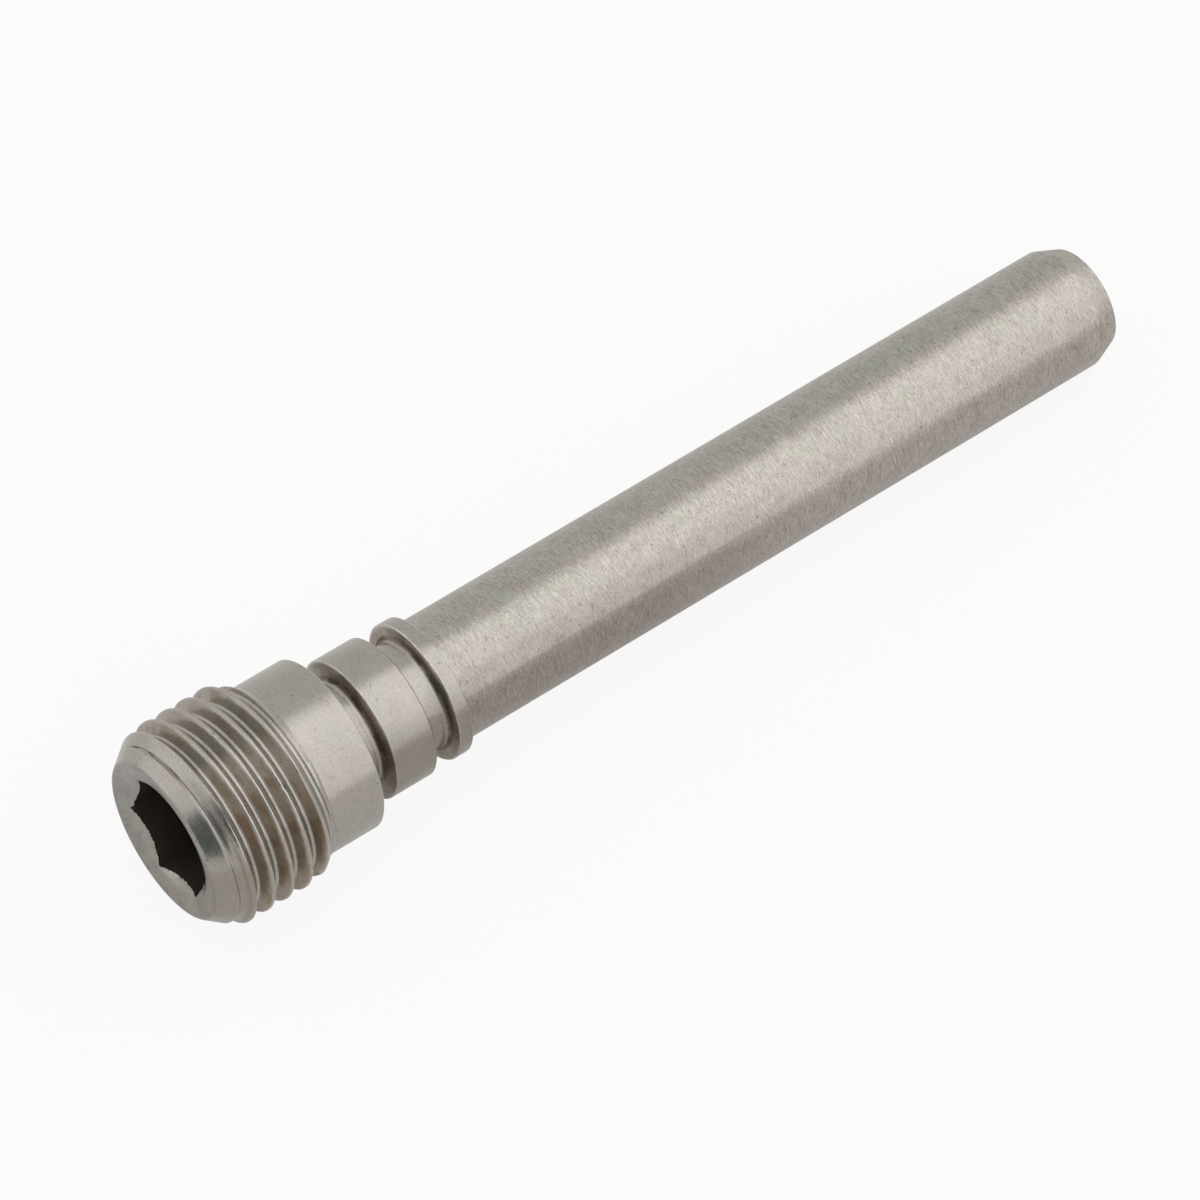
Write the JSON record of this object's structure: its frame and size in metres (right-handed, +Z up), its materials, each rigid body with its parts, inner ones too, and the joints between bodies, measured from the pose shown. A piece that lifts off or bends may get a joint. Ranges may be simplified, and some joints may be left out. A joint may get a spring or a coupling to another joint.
{
  "type": "brake pad pin",
  "caption": "Turned steel pin with a hexagon socket in a threaded head, two grooves, a thin flange and a long plain shank that brake pads hang and slide on.",
  "frame": {"origin": "middle of the pin's box, on the surface that the pin lies on", "axes": "+X from the socket end to the tip along that surface, +Y across, +Z up; the pin's own axis lies in the XZ plane and dips 2.40 degrees below +X, because it rests on its thread and on the tip end of its shank"},
  "size_m": [0.0524, 0.0098, 0.01],
  "materials": {
    "steel": "satin, with fine turned marks round the axis"
  },
  "bodies": {
    "root": {"brake_pad_pin": "steel"}
  },
  "joints": []
}
